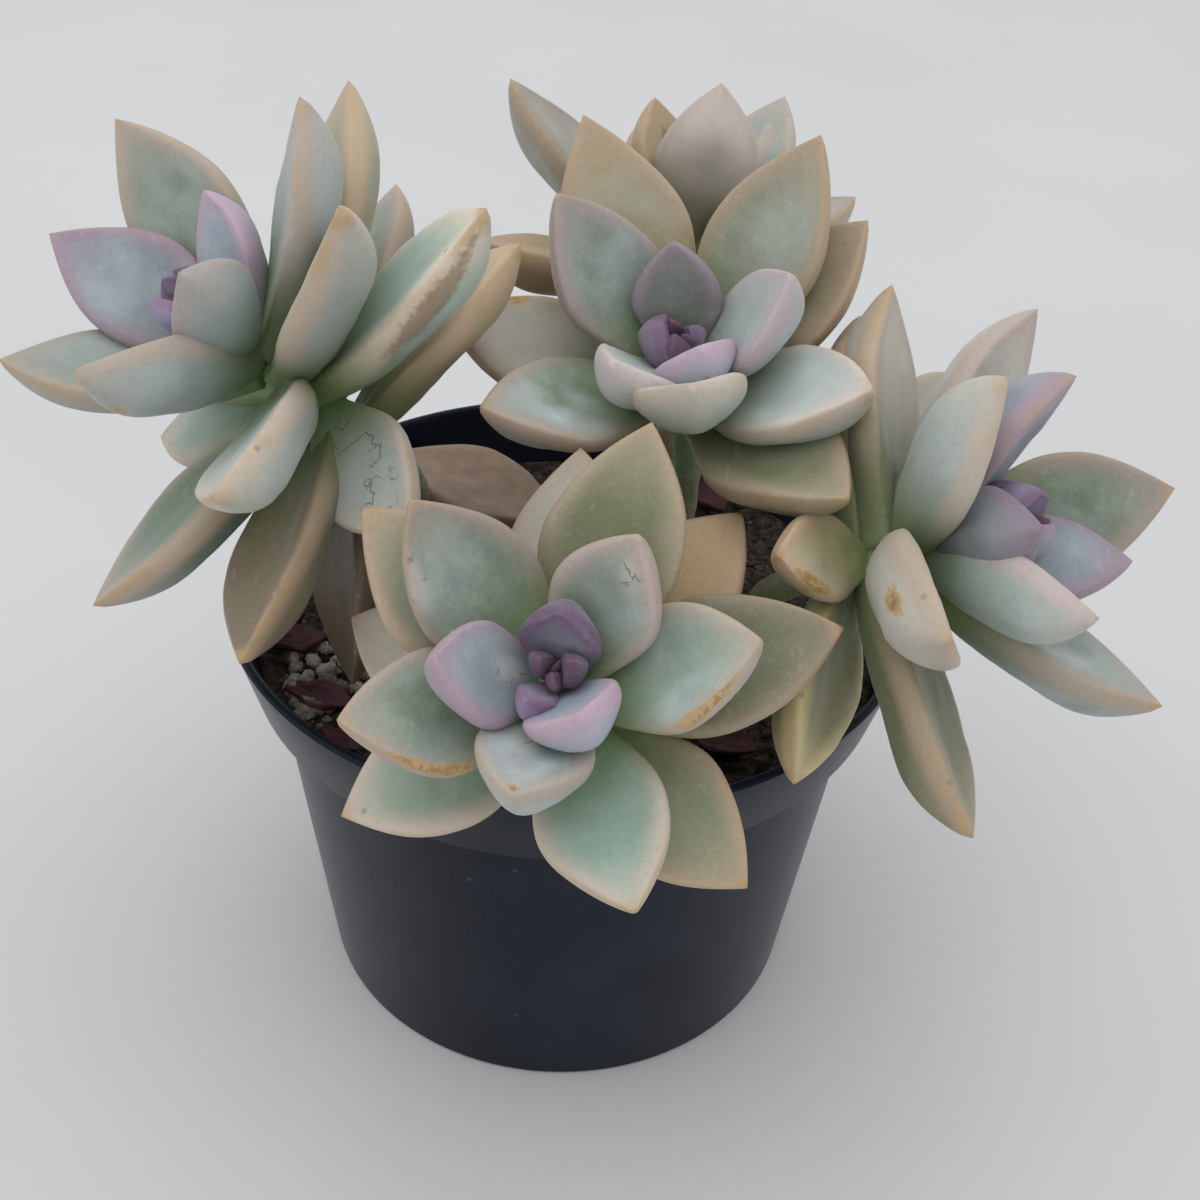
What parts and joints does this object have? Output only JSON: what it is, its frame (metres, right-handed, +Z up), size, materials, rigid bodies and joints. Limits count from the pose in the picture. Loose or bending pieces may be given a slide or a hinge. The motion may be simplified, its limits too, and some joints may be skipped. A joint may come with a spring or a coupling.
{
  "type": "potted graptopetalum",
  "caption": "Potted succulent: fleshy, bloom-coated leaf rosettes on short stems lean out over the rim of a squat tapered black nursery pot filled with soil.",
  "frame": {"origin": "centre of the pot's flat base, at ground level", "axes": "+Z up along the pot's axis; -Y towards the side that the picture was taken from; +X to the right of that view"},
  "size_m": [0.1515, 0.1443, 0.1397],
  "materials": {
    "pot_plastic": "satin",
    "potting_soil": "matte, crumbly",
    "succulent_leaf": "matte wax bloom",
    "faded_leaf": "matte",
    "dry_leaf": "matte, wrinkled"
  },
  "bodies": {
    "root": {"pot": "pot_plastic", "soil": "potting_soil", "fallen_leaf": "faded_leaf", "rosette_front": "succulent_leaf", "rosette_centre": "succulent_leaf", "rosette_right": "succulent_leaf", "rosette_left": "succulent_leaf", "rosette_back": "succulent_leaf", "dry_leaf_left": "dry_leaf", "dry_leaf_rim": "dry_leaf", "dry_leaf_side": "dry_leaf", "dry_leaf_back": "dry_leaf", "dry_leaf_right": "dry_leaf"}
  },
  "joints": []
}
